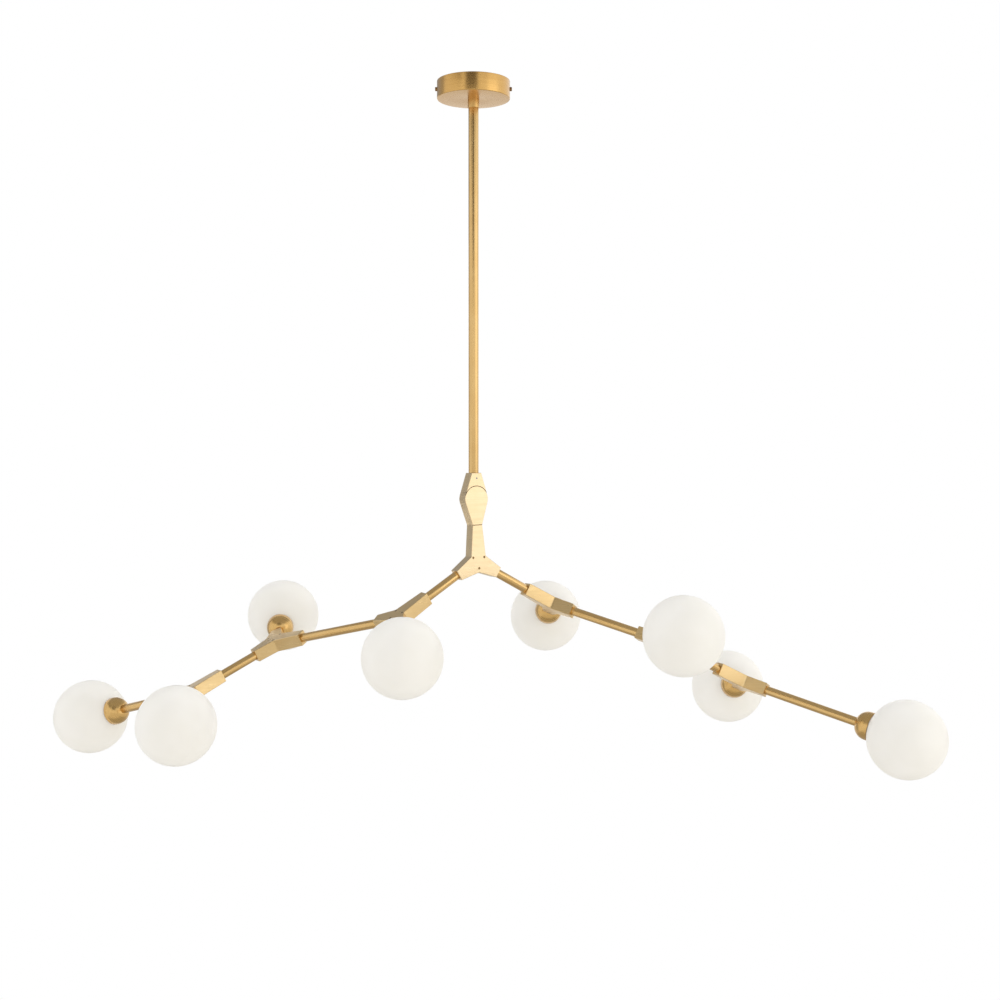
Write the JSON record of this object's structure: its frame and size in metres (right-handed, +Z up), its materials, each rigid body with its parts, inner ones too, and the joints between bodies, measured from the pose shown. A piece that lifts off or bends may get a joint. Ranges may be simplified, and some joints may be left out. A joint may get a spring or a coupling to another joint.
{
  "type": "branching rod-hung ceiling light",
  "caption": "Ceiling light on a rod: a swivel and two zigzag wings of Y castings and tubes, with opal glass globes on brass domes.",
  "frame": {"origin": "centre of the ceiling plane on the rod's axis, where the bracket's upper face lies", "axes": "+Z up into the ceiling, +X along the bracket and the longer reach of the wings, -Y towards the picture's viewer"},
  "size_m": [1.4112, 0.5197, 1.0798],
  "materials": {
    "brushed_brass": "satin brushed",
    "dark_brass": "satin, darker",
    "zinc_steel": "zinc plated",
    "opal_glass": "opal white, satin",
    "lampholder_white": "white ceramic-like",
    "terminal_white": "matt"
  },
  "bodies": {
    "ceiling_mount": {"mounting_bracket": "zinc_steel", "canopy": "brushed_brass", "canopy_side_screws": "dark_brass", "terminal_block": "terminal_white", "threaded_nipple": "zinc_steel", "nipple_lock_nut": "zinc_steel", "rod_collar": "dark_brass"},
    "rod": {"downrod": "brushed_brass", "swivel_upper": "brushed_brass", "swivel_set_screw": "zinc_steel"},
    "hub": {"swivel_lower": "brushed_brass", "swivel_pivot_bolt": "brushed_brass", "hub_block": "brushed_brass", "hub_cover": "brushed_brass", "hub_stem_pipe": "brushed_brass", "hub_left_tube": "brushed_brass", "hub_right_tube": "brushed_brass"},
    "left_inner": {"left_inner_block": "brushed_brass", "left_inner_cover": "brushed_brass", "left_inner_tube": "brushed_brass", "left_inner_cap": "brushed_brass", "left_inner_lamp": "lampholder_white"},
    "left_middle": {"left_middle_block": "brushed_brass", "left_middle_cover": "brushed_brass", "left_middle_tube": "brushed_brass", "left_middle_cap": "brushed_brass", "left_middle_lamp": "lampholder_white"},
    "left_outer": {"left_outer_block": "brushed_brass", "left_outer_cover": "brushed_brass", "left_outer_tube": "brushed_brass", "left_outer_cap": "brushed_brass", "left_outer_lamp": "lampholder_white", "left_end_cap": "brushed_brass", "left_end_lamp": "lampholder_white"},
    "right_inner": {"right_inner_block": "brushed_brass", "right_inner_cover": "brushed_brass", "right_inner_tube": "brushed_brass", "right_inner_cap": "brushed_brass", "right_inner_lamp": "lampholder_white"},
    "right_middle": {"right_middle_block": "brushed_brass", "right_middle_cover": "brushed_brass", "right_middle_tube": "brushed_brass", "right_middle_cap": "brushed_brass", "right_middle_lamp": "lampholder_white"},
    "right_outer": {"right_outer_block": "brushed_brass", "right_outer_cover": "brushed_brass", "right_outer_tube": "brushed_brass", "right_outer_cap": "brushed_brass", "right_outer_lamp": "lampholder_white", "right_end_cap": "brushed_brass", "right_end_lamp": "lampholder_white"},
    "left_inner_globe_body": {"left_inner_globe": "opal_glass"},
    "left_middle_globe_body": {"left_middle_globe": "opal_glass"},
    "left_outer_globe_body": {"left_outer_globe": "opal_glass"},
    "left_end_globe_body": {"left_end_globe": "opal_glass"},
    "right_inner_globe_body": {"right_inner_globe": "opal_glass"},
    "right_middle_globe_body": {"right_middle_globe": "opal_glass"},
    "right_outer_globe_body": {"right_outer_globe": "opal_glass"},
    "right_end_globe_body": {"right_end_globe": "opal_glass"}
  },
  "joints": [
    {"name": "rod_turn", "type": "hinge", "parent": "ceiling_mount", "child": "rod", "pos_m": [0, 0, -0.0342], "axis": [0, 0, 1], "range_deg": [-175, 175]},
    {"name": "swivel_tilt", "type": "hinge", "parent": "rod", "child": "hub", "pos_m": [0, 0, -0.6572], "axis": [0.5, -0.866, 0], "range_deg": [-47.4, 42.6]},
    {"name": "left_inner_twist", "type": "hinge", "parent": "hub", "child": "left_inner", "pos_m": [-0.07556, -0.04363, -0.81309], "axis": [-0.7312, -0.4222, -0.5358], "range_deg": [-60, 60]},
    {"name": "left_middle_twist", "type": "hinge", "parent": "left_inner", "child": "left_middle", "pos_m": [-0.27849, 0.03666, -0.88142], "axis": [-0.832, 0.5158, -0.2042], "range_deg": [-60, 60]},
    {"name": "left_outer_twist", "type": "hinge", "parent": "left_middle", "child": "left_outer", "pos_m": [-0.40521, 0.01457, -0.9405], "axis": [-0.7714, -0.4521, -0.4479], "range_deg": [-60, 60]},
    {"name": "right_inner_twist", "type": "hinge", "parent": "hub", "child": "right_inner", "pos_m": [0.0866, 0.05, -0.80524], "axis": [0.7675, 0.4431, -0.4633], "range_deg": [-60, 60]},
    {"name": "right_middle_twist", "type": "hinge", "parent": "right_inner", "child": "right_middle", "pos_m": [0.26337, -0.01614, -0.86942], "axis": [0.8137, -0.5302, -0.2383], "range_deg": [-60, 60]},
    {"name": "right_outer_twist", "type": "hinge", "parent": "right_middle", "child": "right_outer", "pos_m": [0.39034, 0.00508, -0.92829], "axis": [0.7825, 0.4509, -0.4295], "range_deg": [-60, 60]},
    {"name": "left_inner_globe_slide", "type": "slide", "parent": "left_inner", "child": "left_inner_globe_body", "axis": [0.1008, -0.938, -0.3316], "range_m": [0, 0.065]},
    {"name": "left_middle_globe_slide", "type": "slide", "parent": "left_middle", "child": "left_middle_globe_body", "axis": [-0.0606, 0.968, 0.2437], "range_m": [0, 0.065]},
    {"name": "left_outer_globe_slide", "type": "slide", "parent": "left_outer", "child": "left_outer_globe_body", "axis": [0.0461, -0.9766, -0.2099], "range_m": [0, 0.065]},
    {"name": "left_end_globe_slide", "type": "slide", "parent": "left_outer", "child": "left_end_globe_body", "axis": [-0.8175, 0.5245, -0.238], "range_m": [0, 0.065]},
    {"name": "right_inner_globe_slide", "type": "slide", "parent": "right_inner", "child": "right_inner_globe_body", "axis": [-0.0462, 0.9733, -0.225], "range_m": [0, 0.065]},
    {"name": "right_middle_globe_slide", "type": "slide", "parent": "right_middle", "child": "right_middle_globe_body", "axis": [0.0312, -0.9811, 0.1911], "range_m": [0, 0.065]},
    {"name": "right_outer_globe_slide", "type": "slide", "parent": "right_outer", "child": "right_outer_globe_body", "axis": [-0.0283, 0.9825, -0.1843], "range_m": [0, 0.065]},
    {"name": "right_end_globe_slide", "type": "slide", "parent": "right_outer", "child": "right_end_globe_body", "axis": [0.8108, -0.5316, -0.2452], "range_m": [0, 0.065]}
  ]
}
